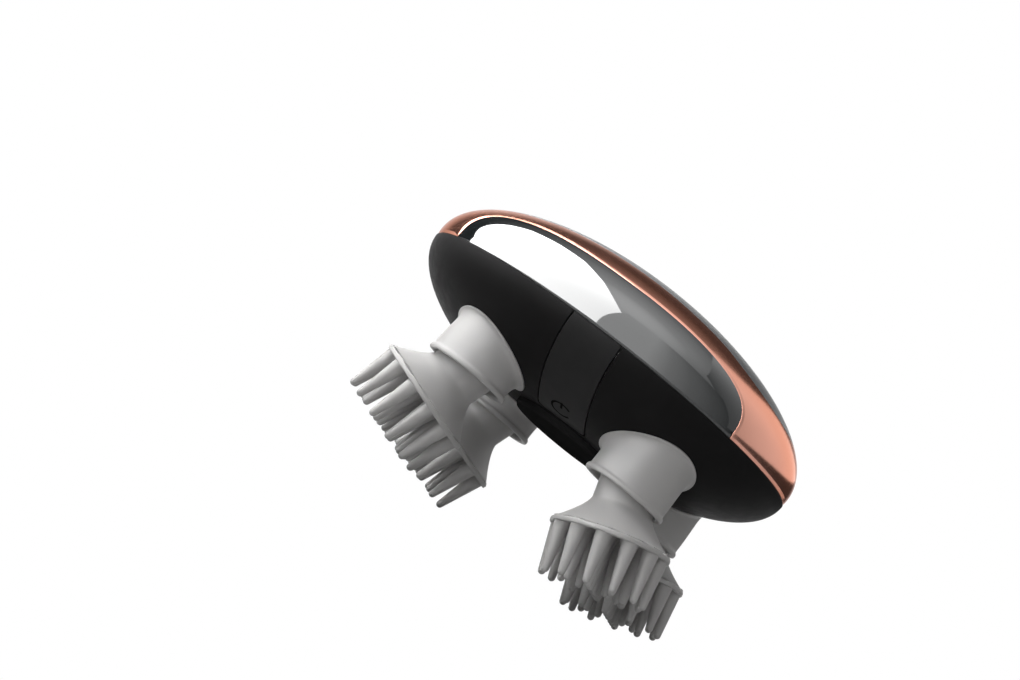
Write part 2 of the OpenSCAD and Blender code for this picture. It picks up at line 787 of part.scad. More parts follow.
module gear_b() {
  turn = 180 + 180 / pinion_b_z;
  color("#e8e6de") at_seam() translate([gear_b_x, 0, 0]) difference() {
    union() {
      gear(gear_m, pinion_b_z, sun_z0, sun_t + 0.4, turn);
      ring(3.6, 0, sun_z1, wheel_b_z0 + eps);
      gear(fast_m, wheel_z, wheel_b_z0, wheel_b_t);
    }
    translate([0, 0, sun_z0 - 1]) cylinder(h = 20, r = gear_b_axle_r + run_gap, $fn = small);
  }
}

module gear_b_axle() {
  color("#c9ccd0") at_seam() translate([gear_b_x, 0, 0]) {
    ring(gear_b_axle_r, 0, chassis_z0, motor_plate_z1, small);
    ring(gear_b_axle_r + 1, gear_b_axle_r - eps, chassis_z1, sun_z0 - 0.2, small);
    ring(gear_b_axle_r + 0.7, gear_b_axle_r - eps, wheel_b_z1 + 0.3, motor_plate_z0, small);
  }
}

module gear_a() {
  color("#e8e6de") at_seam() translate([gear_a_x, 0, 0]) difference() {
    union() {
      gear(fast_m, fast_pinion_z, wheel_b_z0 - 0.2, wheel_a_z0 - wheel_b_z0 + 0.3, 180 / fast_pinion_z);
      gear(fast_m, wheel_z, wheel_a_z0, wheel_a_t);
    }
    translate([0, 0, wheel_b_z0 - 1]) cylinder(h = 10, r = gear_a_axle_r + run_gap, $fn = small);
  }
}

module gear_a_axle() {
  color("#c9ccd0") at_seam() translate([gear_a_x, 0, 0]) {
    ring(gear_a_axle_r, 0, sun_z1 + 1.3, motor_plate_z1, small);
    ring(gear_a_axle_r + 0.9, 0, sun_z1 + 1.2, wheel_b_z0 - 0.4, small);
    ring(gear_a_axle_r + 0.9, gear_a_axle_r - eps, wheel_a_z1 + 0.3, motor_plate_z0, small);
  }
}

// ---------- motor, cells and electronics ----------

module motor_can() {
  color("#b8bcc0") at_seam() translate([motor_x, 0, 0]) difference() {
    union() {
      ring(motor_r, 0, motor_plate_z1, motor_plate_z1 + motor_h, fine);
      ring(3, 0, motor_plate_z0 + 0.1, motor_plate_z1 + eps);
    }
    translate([0, 0, motor_plate_z0 - 1])
      cylinder(h = motor_h - 1, r = motor_shaft_r + run_gap, $fn = small);
    for (y = [-8, 8]) translate([0, y, 0]) screw_hole(motor_plate_z1 - 1, motor_plate_z1 + 2.6);
  }
}

module motor_rotor() {
  color("#c9ccd0") at_seam() translate([motor_x, 0, 0]) {
    translate([0, 0, wheel_a_z0 - 0.4])
      cylinder(h = motor_plate_z1 + motor_h - 3.6 - wheel_a_z0, r = motor_shaft_r, $fn = small);
    gear(fast_m, fast_pinion_z, wheel_a_z0 - 0.2, wheel_a_t + 0.4, 180 / fast_pinion_z);
  }
}

cradle_l = 36;
cradle_wall = 1.4;
tab_w = 4;

module battery_cradle() {
  y0 = motor_plate_w / 2 + 0.1;
  y1 = cell_y + cell_r + cradle_wall - 1;
  z0 = cell_z - cell_r - 1.1;
  color("#d8d6cf") at_seam() for (s = [-1, 1]) difference() {
    union() {
      translate([-cradle_l / 2, s > 0 ? y0 : -y1, z0]) cube([cradle_l, y1 - y0, cell_z - z0]);
      for (x = [-12, 12]) translate([x - 3, s > 0 ? y0 - tab_w : -y0 - eps, motor_plate_z1])
        cube([6, tab_w + eps, 1]);
      for (x = [-12, 12]) translate([x - 3, s > 0 ? y0 : -y0 - 2, cell_z - 2])
        cube([6, 2, motor_plate_z1 + 1 - cell_z + 2]);
    }
    translate([-big / 2, s * cell_y, cell_z]) rotate([0, 90, 0])
      cylinder(h = big, r = cell_r + 0.1, $fn = medium);
    for (x = [-9, 9]) translate([x - 4.5, s > 0 ? y0 + 2.4 : -y1 - 1, z0 - 1]) cube([9, y1 - y0, 3]);
  }
}

module battery_cells() {
  color("#3f6fa3") at_seam() for (s = [-1, 1]) translate([-cell_l / 2, s * cell_y, cell_z])
    rotate([0, 90, 0]) {
      cylinder(h = cell_l - 1, r = cell_r, $fn = medium);
      cylinder(h = cell_l, r = 2.7, $fn = small);
    }
}

module main_board() {
  color("#2f6b3a") at_seam() {
    translate([board_x0, -board_w / 2, board_z0]) cube([board_x1 - board_x0, board_w, board_t]);
    translate([board_x0 + 5, -4, board_z0 + board_t - eps]) cube([7, 7, 1.2]);
    translate([board_x0 + 15, -7, board_z0 + board_t - eps]) cube([4, 5, 1.6]);
    for (x = [board_x0 + 3, board_x1 - 3], y = [-1, 1])
      translate([x, y * (board_w / 2 - 2.5), motor_plate_z1])
        cylinder(h = board_z0 - motor_plate_z1 + eps, r = 1.6, $fn = small);
  }
}

module switch_board() {
  color("#2f6b3a") at_seam() {
    translate([-8, -key_plunger_y - 5, switch_board_z0]) cube([16, 12, switch_board_t]);
    translate([-5.5, -key_plunger_y + 4, switch_board_z0 + switch_board_t - eps])
      cube([11, 2, chassis_z0 - switch_board_z0 - switch_board_t + eps]);
  }
}

module tact_switch() {
  color("#55585c") at_seam() translate([0, -key_plunger_y, 0]) {
    translate([-3, -3, switch_z0]) cube([6, 6, switch_h]);
    translate([0, 0, switch_z0 - 0.7]) cylinder(h = 0.7 + eps, r = 1.7, $fn = small);
  }
}

module charging_port() {
  y1 = body_w / 2 - wall;
  color("#c0c3c7") at_seam() translate([0, 0, port_z]) difference() {
    translate([0, y1 + 1, 0]) rotate([90, 0, 0]) linear_extrude(8)
      rounded_rect(port_w, port_h, port_h / 2 - 0.01);
    translate([0, y1 + 2, 0]) rotate([90, 0, 0]) linear_extrude(7.6)
      rounded_rect(port_w - 0.7, port_h - 0.7, port_h / 2 - 0.36);
  }
}

// ---------- nodes ----------

lower_housing();
bottom_plate();
bottom_gasket();
bottom_plate_screws();
joint_ring();
upper_shell();
top_panel();
window_front();
window_back();
power_key();
key_hinge_pin();
tact_switch();
switch_board();
chassis_plate();
chassis_screws();
crank_bushes();
motor_plate();
plate_pillars();
plate_screws();
sun_gear();
sun_axle();
gear_b();
gear_b_axle();
gear_a();
gear_a_axle();
motor_can();
motor_rotor();
battery_cradle();
battery_cells();
main_board();
charging_port();
for (c = corners) {
  collar(c);
  head_cup(c);
  head_core(c);
  head_bush(c);
  head_clip(c);
  crank(c);
  output_gear(c);
}
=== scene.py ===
"""Electric scalp massager: its looks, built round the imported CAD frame."""

import json
import math

import bpy
import numpy as np
from mathutils import Matrix, Vector
from mathutils.geometry import delaunay_2d_cdt


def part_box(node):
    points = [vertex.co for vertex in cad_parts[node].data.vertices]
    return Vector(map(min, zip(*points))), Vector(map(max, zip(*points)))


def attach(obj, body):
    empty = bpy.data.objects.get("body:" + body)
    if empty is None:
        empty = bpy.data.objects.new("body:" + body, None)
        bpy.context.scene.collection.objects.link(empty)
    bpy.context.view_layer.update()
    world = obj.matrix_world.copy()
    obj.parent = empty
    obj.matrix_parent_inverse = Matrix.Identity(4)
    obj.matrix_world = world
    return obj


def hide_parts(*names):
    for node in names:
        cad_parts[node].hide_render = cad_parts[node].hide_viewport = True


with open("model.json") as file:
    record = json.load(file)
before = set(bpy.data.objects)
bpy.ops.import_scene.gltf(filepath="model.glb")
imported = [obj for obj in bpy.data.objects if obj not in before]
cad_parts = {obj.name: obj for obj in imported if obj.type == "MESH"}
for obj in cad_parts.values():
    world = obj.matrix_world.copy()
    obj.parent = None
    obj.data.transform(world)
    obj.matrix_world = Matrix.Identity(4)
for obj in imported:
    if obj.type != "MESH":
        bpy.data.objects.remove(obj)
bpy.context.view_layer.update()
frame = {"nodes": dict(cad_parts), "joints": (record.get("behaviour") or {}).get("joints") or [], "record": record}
MM = 0.001
CORNERS = ("front_left", "front_right", "back_left", "back_right")


# ---------- sizes, in millimetres in the record's frame ----------

def cad_box(node):
    low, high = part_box(node)
    return np.array(low) / MM, np.array(high) / MM


def cad_joint(name):
    return next(j for j in frame["joints"] if j["name"] == name)


housing_low, housing_high = cad_box("lower_housing")

# Casing: half its length and width, the level of its seam and the depth of its flat underside
BODY_A = (housing_high[0] - housing_low[0]) / 2
BODY_B = housing_high[1]
SEAM = housing_high[2]
FLAT = SEAM - housing_low[2]
# The dome's widest level above the seam, and the heights of the two half ellipsoids
DOME_BELT = 2.0
DOME_C = cad_box("top_panel")[1][2] - SEAM - DOME_BELT
BOWL_C = FLAT + 2.0
WALL = 2.0
SEAM_GAP = 0.08
# Where the key and the charging socket stand along X
SHIFT = 3.0

# Skins: radius of a moulded edge and its rows, the spacing of the grid inside, in radians
# about the pole, and how softly a bevel starts
EDGE = 0.25
EDGE_ROWS = 5
GRID = 0.034
BEVEL_BLEND = 0.05
SHELL_EDGE = 0.1
SHELL_BEVEL = (0.8, 8)

# Inlays of the dome
INLAY_T = 1.2
INLAY_GAP = 0.15
WINDOW_A = 42.5
WINDOW_X = -1.5
WINDOW_H = 14.7
WINDOW_N = 3.0
WINDOW_SILL = 0.1
WINDOW_EDGE = 0.06
WINDOW_GRID = 0.03
PANEL_L = 100.0
PANEL_W = 49.0

# Power key and its mark: LINE is half the width of a stroke
KEY_W = 14.2
KEY_END = 17.0
KEY_CORNER = 2.2
KEY_GAP = 0.3
KEY_END_GAP = 0.6
KEY_SEAM_GAP = 0.15
KEY_T = WALL - 0.2
KEY_GRID = 0.028
ICON_Y = 24.6
ICON_R = 2.8
ICON_LINE = 0.3
ICON_ARC = (35, 325)
ICON_BAR = (0.6, 3.3)
ICON_LIFT = 0.02

# Opening of the charging socket, its level measured from the seam
PORT_W = 9.6
PORT_H = 3.8
PORT_Z = -3.6

# Collars: the foot spreads towards the middle of the underside, at FOOT_TURN from X
LIP_R = 11.5
LIP_BORE = 9.95
LIP_DROP = 3.5
WAIST_R = 10.95
WAIST_TOP = 2.0
FOOT_R = 12.2
FOOT_SPREAD = 1.5
FOOT_TURN = math.radians(59)
FOOT_EDGE = 0.35
FOOT_TUCK = 0.28

# Heads: radii, and depths below the pivot; FINGER_RINGS holds (number, ring radius)
NECK_R = 7.7
NECK_H = 6.2
NECK_TOP = -1.5
RIM_R = 15.3
RIM_H = 15.4
RIM_T = 1.3
RIM_SHY = 0.45
FLARE_N = 1.4
FACE_H = RIM_H - 1.2
FINGER_END = 28.0
FINGER_R = 2.2
FINGERTIP_R = 0.95
FINGER_RINGS = ((12, 12.9), (8, 7.9), (4, 3.3))

# Points round a turned shape
COLLAR_SIDES = 120
HEAD_SIDES = 96
FINGER_SIDES = 24


# ---------- lines and outlines ----------

def unit(v):
    return v / np.maximum(np.linalg.norm(v, axis=1), 1e-12)[:, None]


def resample(points, step, closed=True):
    """The same line with points about step apart; an open line keeps its two ends."""
    points = np.asarray(points, float)
    if closed:
        points = np.vstack([points, points[:1]])
    length = np.r_[0, np.cumsum(np.linalg.norm(np.diff(points, axis=0), axis=1))]
    count = max(2, int(round(length[-1] / step)) + 1)
    at = np.linspace(0, length[-1], count)
    out = np.stack([np.interp(at, length, points[:, k]) for k in range(3)], 1)
    return out[:-1] if closed else out


def join(*lines):
    """One closed outline from lines that follow one another, without doubled points."""
    points = np.vstack(lines)
    keep = np.linalg.norm(points - np.roll(points, 1, axis=0), axis=1) > 0.02
    return points[keep]


def stadium(length, width, count):
    """Outline in a plane: two half circles, of count points each, and straight sides."""
    r = width / 2
    turn = np.radians(np.linspace(-90, 90, count))
    right = np.stack([length / 2 - r + r * np.cos(turn), r * np.sin(turn)], 1)
    return np.vstack([right, -right])


def area(uv):
    x, y = uv[:, 0], uv[:, 1]
    return 0.5 * np.sum(x * np.roll(y, -1) - np.roll(x, -1) * y)


def inside(points, outline):
    """Whether each point of a plane lies within an outline."""
    x, y = points[:, 0], points[:, 1]
    result = np.zeros(len(points), bool)
    for (x0, y0), (x1, y1) in zip(outline, np.roll(outline, -1, axis=0)):
        if y0 == y1:
            continue
        crosses = (y0 > y) != (y1 > y)
        result ^= crosses & (x < (x1 - x0) * (y - y0) / (y1 - y0) + x0)
    return result


def within(points, loops):
    """Whether each point lies inside the first loop and outside the others."""
    keep = inside(points, loops[0])
    for hole in loops[1:]:
        keep &= ~inside(points, hole)
    return keep


# ---------- surfaces of the casing ----------

class Ellipsoid:
    """Half of an ellipsoid, mapped to a plane round its pole.

    side is 1 for the dome and -1 for the bowl. flat is the height at which it is cut off, with
    a soft corner.
    """

    SHALLOW = math.radians(50)

    def __init__(self, centre_z, radii, side, flat=None, soft=0.6):
        self.centre = np.array([0.0, 0.0, centre_z])
        self.radii = np.array(radii, float)
        self.side = side
        self.flat = flat
        self.soft = soft

    def to_uv(self, points):
        q = (points - self.centre) / self.radii
        q[:, 2] *= self.side
        across = np.hypot(q[:, 0], q[:, 1])
        around = np.arctan2(q[:, 1], q[:, 0])
        polar = np.arctan2(across, q[:, 2])
        if self.flat is not None:
            near = polar < self.SHALLOW
            polar[near] = np.arcsin(np.clip(across[near], 0, 1))
        return np.stack([polar * np.cos(around), polar * np.sin(around)], 1)

    def at(self, uv):
        polar = np.hypot(uv[:, 0], uv[:, 1])
        around = np.arctan2(uv[:, 1], uv[:, 0])
        rise = self.radii[2] * np.cos(polar)
        if self.flat is not None:
            gap = rise - self.flat
            rise = (rise + self.flat - np.sqrt(gap * gap + self.soft ** 2)) / 2
        return self.centre + np.stack([
            self.radii[0] * np.sin(polar) * np.cos(around),
            self.radii[1] * np.sin(polar) * np.sin(around),
            self.side * rise,
        ], 1)

    def snap(self, points):
        return self.at(self.to_uv(points))

    def normal(self, points):
        uv = self.to_uv(points)
        step = 1e-4
        du = self.at(uv + [step, 0]) - self.at(uv - [step, 0])
        dv = self.at(uv + [0, step]) - self.at(uv - [0, step])
        n = np.cross(du, dv) * self.side
        return n / np.linalg.norm(n, axis=1)[:, None]


dome = Ellipsoid(SEAM + DOME_BELT, (BODY_A, BODY_B, DOME_C), 1)
bowl = Ellipsoid(SEAM, (BODY_A, BODY_B, BOWL_C), -1, flat=FLAT)


def on_bowl(plan):
    """Points of the bowl's outer surface at places in plan."""
    q = np.maximum(1 - (plan[:, 0] / BODY_A) ** 2 - (plan[:, 1] / BODY_B) ** 2, 0)
    return bowl.snap(np.column_stack([plan, SEAM - BOWL_C * np.sqrt(q)]))


def seam_arc(surface, angle0, angle1, z, step=0.7):
    """Part of a casing's outline at a level, from one angle to another, in degrees."""
    level = surface.side * (z - surface.centre[2]) / surface.radii[2]
    across = math.sqrt(1 - level * level)
    a = np.radians(np.linspace(angle0, angle1, 400))
    x = surface.radii[0] * across * np.cos(a)
    y = surface.radii[1] * across * np.sin(a)
    return resample(np.stack([x, y, np.full(len(a), z)], 1), step, closed=False)


def seam_angle(surface, x, z, side):
    """Angle at which the outline at a level passes x, on the side of +Y or -Y."""
    level = (z - surface.centre[2]) / surface.radii[2]
    across = surface.radii[0] * math.sqrt(1 - level * level)
    return side * math.degrees(math.acos(x / across))


# ---------- skins: closed pieces that follow a surface ----------

def in_scene(name, data):
    made = bpy.data.objects.new(name, data)
    bpy.context.scene.collection.objects.link(made)
    return made


def add_object(name, verts, faces, normals=None):
    """A smooth object from vertices in millimetres."""
    mesh = bpy.data.meshes.new(name)
    faces = [tuple(int(i) for i in f) for f in faces]
    mesh.from_pydata((np.asarray(verts) * MM).tolist(), [], faces)
    mesh.polygons.foreach_set("use_smooth", [True] * len(mesh.polygons))
    if normals is not None:
        mesh.normals_split_custom_set_from_vertices(np.asarray(normals).tolist())
    mesh.update()
    return in_scene(name, mesh)


def bevel_widths(loop, width, least):
    """Width of a bevel all along an outline, narrower towards the outline's sharp corners."""
    along = unit(np.roll(loop, -1, axis=0) - loop)
    corners = loop[(along * np.roll(along, 1, axis=0)).sum(1) < 0.7]
    reach = np.linalg.norm(loop[:, None] - corners[None], axis=2).min(1)
    return np.minimum(width, least + 0.25 * reach)[:, None]


def edge_rows(surface, loop, outer, depth, edge, bevel):
    """Rows of points and normals along a loop: inside its edge, over it and down its wall."""
    loop = surface.snap(loop)
    turn = area(surface.to_uv(loop)) * surface.side
    if (turn > 0) != outer:
        loop = loop[::-1]
    n = surface.normal(loop)
    along = unit(np.roll(loop, -1, axis=0) - np.roll(loop, 1, axis=0))
    inwards = unit(np.cross(n, along))

    def leaning(angle):
        return n * math.cos(angle) - inwards * math.sin(angle)

    rows, start, drop = [], 0.0, 0.0
    if bevel and outer:
        start = math.radians(bevel[1])
        width = bevel_widths(loop, bevel[0], edge + BEVEL_BLEND)
        rows.append((surface.snap(loop + inwards * (width + BEVEL_BLEND)), n))
        rows.append((surface.snap(loop + inwards * width), leaning(start)))
        drop = (width - edge * (1 - math.sin(start))) * math.tan(start)
    for a in np.linspace(start, math.pi / 2, EDGE_ROWS):
        points = surface.snap(loop + inwards * edge * (1 - math.sin(a)))
        points -= n * (drop + edge * (math.cos(start) - math.cos(a)))
        rows.append((points, leaning(a)))
    rows.append((loop - n * depth, -inwards))
    return rows


def staggered_grid(loops, step):
    """Points within the loops, on a staggered grid that keeps clear of their lines."""
    low, high = loops[0].min(0), loops[0].max(0)
    columns, lines = np.arange(low[0], high[0], step), np.arange(low[1], high[1], step)
    grid = np.stack(np.meshgrid(columns, lines), -1)
    grid[1::2, :, 0] += step / 2
    grid = grid.reshape(-1, 2)
    grid = grid[within(grid, loops)]
    border = np.vstack(loops)
    nearest = np.full(len(grid), np.inf)
    for part in np.array_split(border, max(1, len(border) // 200)):
        away = np.linalg.norm(grid[:, None] - part[None], axis=2).min(1)
        nearest = np.minimum(nearest, away)
    return grid[nearest > 0.45 * step]


def fill(loops, step):
    """Points and triangles between the loops, and each loop's own points among them."""
    edges, starts, count = [], [], 0
    for loop in loops:
        starts.append(count)
        edges += [(count + i, count + (i + 1) % len(loop)) for i in range(len(loop))]
        count += len(loop)
    flat = [Vector(p) for p in np.vstack([*loops, staggered_grid(loops, step)])]
    points, _, triangles, sources, _, _ = delaunay_2d_cdt(flat, edges, [], 0, 1e-9)
    uv = np.array([tuple(p) for p in points])
    index = {old: new for new, olds in enumerate(sources) for old in olds}
    borders = [[index[start + i] for i in range(len(loop))] for start, loop in zip(starts, loops)]
    triangles = np.array(triangles)
    return uv, triangles[within(uv[triangles].mean(1), loops)], borders


def skin(name, surface, loops, depth, edge, step, bevel=None):
    """A closed piece of a casing, from its outline, loops[0], and its holes, the other loops.

    Its outer edges are rounded. bevel is the width, and the angle in degrees, of a flat bevel
    inside the outline's rounded edge.
    """
    verts, normals, faces = [], [], []

    def add(points, directions):
        start = sum(map(len, verts))
        verts.append(points)
        normals.append(directions)
        return np.arange(start, start + len(points))

    def strip(a, b):
        for i in range(len(a)):
            k = (i + 1) % len(a)
            faces.append((a[i], a[k], b[k], b[i]))

    stacks = [edge_rows(surface, loop, number == 0, depth, edge, bevel)
              for number, loop in enumerate(loops)]
    uv, triangles, borders = fill([surface.to_uv(rows[0][0]) for rows in stacks], step)
    corner = uv[triangles]
    (ux, uy), (vx, vy) = (corner[:, 1] - corner[:, 0]).T, (corner[:, 2] - corner[:, 0]).T
    wrong = (ux * vy - uy * vx) * surface.side < 0
    triangles[wrong] = triangles[wrong][:, ::-1]
    top = surface.at(uv)
    n = surface.normal(top)
    upper = add(top, n)
    lower = add(top - n * depth, -n)
    faces += [tuple(upper[t]) for t in triangles]
    faces += [tuple(lower[t[::-1]]) for t in triangles]
    for rows, border in zip(stacks, borders):
        previous = upper[border]
        for points, directions in rows[1:]:
            current = add(points, directions)
            strip(current, previous)
            previous = current
        strip(lower[border], previous)
    return add_object(name, np.vstack(verts), faces, np.vstack(normals))


# ---------- dome: shell, windows and panel ----------

def window_arch(side, gap, z_low):
    """The window's arch from right to left, grown by a gap, down to a level above the seam."""
    a, h = WINDOW_A + gap, WINDOW_H + gap
    low = math.asin((z_low / h) ** (WINDOW_N / 2))
    t = np.linspace(low, math.pi - low, 500)
    x = WINDOW_X + np.sign(np.cos(t)) * a * np.abs(np.cos(t)) ** (2 / WINDOW_N)
    z = h * np.sin(t) ** (2 / WINDOW_N)
    y = side * BODY_B * np.sqrt(1 - (x / BODY_A) ** 2 - ((z - DOME_BELT) / DOME_C) ** 2)
    return resample(np.stack([x, y, SEAM + z], 1), 0.5, closed=False)


def panel_outline(gap):
    """The stadium round the top panel, grown by a gap."""
    plan = stadium(PANEL_L + 2 * gap, PANEL_W + 2 * gap, 40)
    q = 1 - (plan[:, 0] / BODY_A) ** 2 - (plan[:, 1] / BODY_B) ** 2
    z = SEAM + DOME_BELT + DOME_C * np.sqrt(q)
    return dome.snap(resample(np.column_stack([plan, z]), 0.6))


def make_upper_shell():
    z = SEAM + SEAM_GAP
    arches = {side: window_arch(side, INLAY_GAP, SEAM_GAP) for side in (-1, 1)}
    tip = seam_angle(dome, arches[1][0][0], z, 1)
    right = seam_arc(dome, -tip, tip, z)
    tip = seam_angle(dome, arches[1][-1][0], z, 1)
    left = seam_arc(dome, tip, 360 - tip, z)
    outline = join(right, arches[1], left, arches[-1][::-1])
    loops = [outline, panel_outline(INLAY_GAP)]
    return skin("shell_skin", dome, loops, WALL, SHELL_EDGE, GRID, SHELL_BEVEL)


def make_window(name, side):
    z = SEAM + WINDOW_SILL
    arch = window_arch(side, 0, WINDOW_SILL)
    a0, a1 = (seam_angle(dome, arch[end][0], z, side) for end in (-1, 0))
    outline = join(arch, seam_arc(dome, a0, a1, z, 0.5))
    return skin(name, dome, [outline], INLAY_T, WINDOW_EDGE, WINDOW_GRID)


def make_panel():
    return skin("panel_skin", dome, [panel_outline(0)], INLAY_T, EDGE, GRID)


# ---------- bowl: housing, power key and its mark ----------

def key_side(x, y_end, z_top):
    """Line down the bowl at one X, from just under the seam to y_end."""
    k = math.sqrt(1 - (x / BODY_A) ** 2)
    top = math.asin((SEAM - z_top) / (BOWL_C * k))
    end = math.acos(-y_end / (BODY_B * k))
    t = np.linspace(top, end, 200)
    y, z = -BODY_B * k * np.cos(t), SEAM - BOWL_C * k * np.sin(t)
    return np.stack([np.full(len(t), x), y, z], 1)


def key_outline(side_gap, end_gap, z_top):
    """The key's outline from its left top corner round its end to its right top corner."""
    w = KEY_W / 2 + side_gap
    r = KEY_CORNER + side_gap
    y_end = -KEY_END + end_gap
    left = key_side(SHIFT - w, y_end - r, z_top)
    right = key_side(SHIFT + w, y_end - r, z_top)
    turn = np.radians(np.linspace(0, 90, 12))
    corner = np.stack([w - r + r * np.cos(turn), y_end - r + r * np.sin(turn)], 1)
    plan = np.vstack([corner * [-1, 1], corner[::-1]])
    end = np.column_stack([plan[:, 0] + SHIFT, plan[:, 1], np.full(len(plan), SEAM - FLAT)])
    return resample(np.vstack([left, bowl.snap(end), right[::-1]]), 0.5, closed=False)


def ring_on_bowl(x, y, r, count=72):
    a = np.radians(np.arange(count) * 360 / count)
    return on_bowl(np.stack([x + r * np.cos(a), y + r * np.sin(a)], 1))


def port_outline():
    plan = stadium(PORT_W, PORT_H, 16)
    x, z = plan[:, 0] + SHIFT, plan[:, 1] + PORT_Z
    y = BODY_B * np.sqrt(1 - (x / BODY_A) ** 2 - (z / BOWL_C) ** 2)
    return bowl.snap(resample(np.column_stack([x, y, SEAM + z]), 0.4))


def make_housing():
    z = SEAM - SEAM_GAP
    slot = key_outline(KEY_GAP, KEY_END_GAP, z)
    a0, a1 = (seam_angle(bowl, slot[end][0], z, -1) for end in (-1, 0))
    outline = join(seam_arc(bowl, a0, a1 + 360, z), slot)
    holes = [ring_on_bowl(x, y, LIP_BORE) for x, y in HEAD_SPOTS.values()]
    return skin("housing_skin", bowl, [outline, port_outline(), *holes], WALL, EDGE, GRID)


def make_key():
    z = SEAM - KEY_SEAM_GAP
    body = key_outline(0, 0, z)
    a0, a1 = (seam_angle(bowl, body[end][0], z, -1) for end in (-1, 0))
    outline = join(seam_arc(bowl, a0, a1, z, 0.5), body)
    return skin("key_skin", bowl, [outline], KEY_T, EDGE, KEY_GRID)


def make_icon():
    """Generic power mark on the key: an open ring and a bar, each a strip of quads."""
    arc = np.radians(np.linspace(*ICON_ARC, 41))
    radii = (ICON_R - ICON_LINE, ICON_R + ICON_LINE)
    strips = (
        [(r * math.cos(a), -r * math.sin(a)) for a in arc for r in radii],
        [(x, -y) for y in np.linspace(*ICON_BAR, 9) for x in (-ICON_LINE, ICON_LINE)])
    plan, faces = [], []
    for strip in strips:
        first = len(plan)
        plan += strip
        faces += [(k + 2, k + 3, k + 1, k) for k in range(first, len(plan) - 2, 2)]
    low = on_bowl(np.array(plan) + [SHIFT, -ICON_Y])
    return add_object("power_icon", low + bowl.normal(low) * ICON_LIFT, faces)


# ---------- heads and collars ----------

HEAD_SPOTS = {}
for corner in CORNERS:
    pivot = cad_joint(f"head_{corner}_roll")["pos_m"]
    HEAD_SPOTS[corner] = (pivot[0] / MM, pivot[1] / MM)
LIP_Z = cad_joint("head_front_left_roll")["pos_m"][2] / MM - LIP_DROP

# Radius, and height above the lip's lower end
LIP_PROFILE = (
    (LIP_BORE, 4.0), (LIP_BORE, 0.6), (LIP_BORE + 0.1, 0.25), (LIP_BORE + 0.35, 0.04),
    (LIP_BORE + 0.7, 0.0), (LIP_R - 0.45, 0.0), (LIP_R - 0.18, 0.06), (LIP_R - 0.03, 0.25),
    (LIP_R, 0.5), (LIP_R, 0.8), (LIP_R - 0.06, 1.05), (LIP_R - 0.25, 1.3),
    (WAIST_R + 0.03, 1.6))


def bezier(p0, p1, p2, p3, count):
    t = np.linspace(0, 1, count)[:, None]
    s = 1 - t
    return s ** 3 * p0 + 3 * s ** 2 * t * p1 + 3 * s * t * t * p2 + t ** 3 * p3


def collar_profile(house, foot):
    """Radius and level all round a collar's section; house gives the bowl's level at a radius."""
    level = house(foot)
    slope = level - house(foot - 1)
    slant = math.hypot(1, slope)
    end = np.array([foot + FOOT_EDGE * slope / slant, level - FOOT_EDGE / slant])
    waist = np.array([WAIST_R, LIP_Z + WAIST_TOP])
    drop = end[1] - waist[1]
    reach = min(1.9, 0.25 + 0.35 * drop)
    before_end = end - np.array([1, slope]) / slant * reach
    flare = bezier(waist, waist + [0, 0.62 * drop], before_end, end, 18)
    under = [
        (foot + FOOT_TUCK * slope / slant + 0.05, level - FOOT_TUCK / slant + 0.06),
        (foot + 0.03, level + 0.03),
        (foot - 0.4, house(foot - 0.4) + 0.02),
        (LIP_BORE, house(LIP_BORE) + 0.3)]
    return [(r, LIP_Z + h) for r, h in LIP_PROFILE] + [tuple(p) for p in flare] + under


def make_collar(corner):
    """Silicone collar: a lip, a waist and a flare that runs out over the housing."""
    cx, cy = HEAD_SPOTS[corner]
    spread_x = np.sign(-cx) * math.cos(FOOT_TURN)
    spread_y = np.sign(-cy) * math.sin(FOOT_TURN)
    verts = []
    for k in range(COLLAR_SIDES):
        a = 2 * math.pi * k / COLLAR_SIDES
        ca, sa = math.cos(a), math.sin(a)

        def house(r):
            return on_bowl(np.array([[cx + r * ca, cy + r * sa]]))[0, 2]

        foot = FOOT_R + FOOT_SPREAD * (ca * spread_x + sa * spread_y)
        verts += [(cx + r * ca, cy + r * sa, z) for r, z in collar_profile(house, foot)]
    rows = len(verts) // COLLAR_SIDES
    faces = []
    for k in range(COLLAR_SIDES):
        m = (k + 1) % COLLAR_SIDES
        for i in range(rows):
            j = (i + 1) % rows
            faces.append((k * rows + i, m * rows + i, m * rows + j, k * rows + j))
    return add_object("collar_skin_" + corner, verts, faces)


def lathe(profile, sides, centre=(0.0, 0.0)):
    """Vertices and faces of a turned shape about an axis parallel to Z, its depths down."""
    verts, faces = [], []
    rows = len(profile)
    for k in range(sides):
        a = 2 * math.pi * k / sides
        verts += [(centre[0] + r * math.cos(a), centre[1] + r * math.sin(a), -h)
                  for r, h in profile]
        m = (k + 1) % sides
        for i in range(rows - 1):
            faces.append((k * rows + i, k * rows + i + 1, m * rows + i + 1, m * rows + i))
    return verts, faces


def drawn_in(point, radius):
    """A point, pulled back to a radius about the axis if it lies beyond it."""
    x, y, z = point
    share = min(1.0, radius / max(math.hypot(x, y), 1e-9))
    return x * share, y * share, z


def smooth_profile(points, bend, count=4):
    """A profile with its corners rounded, each by a quadratic curve that starts bend before it."""
    points = [np.array(p, float) for p in points]
    out = [points[0]]
    for before, here, after in zip(points, points[1:], points[2:]):
        u, v = before - here, after - here
        lu, lv = np.linalg.norm(u), np.linalg.norm(v)
        b = min(bend, 0.45 * lu, 0.45 * lv)
        start, end = here + u / lu * b, here + v / lv * b
        for t in np.linspace(0, 1, count):
            out.append((1 - t) ** 2 * start + 2 * t * (1 - t) * here + t * t * end)
    out.append(points[-1])
    return [tuple(p) for p in out]


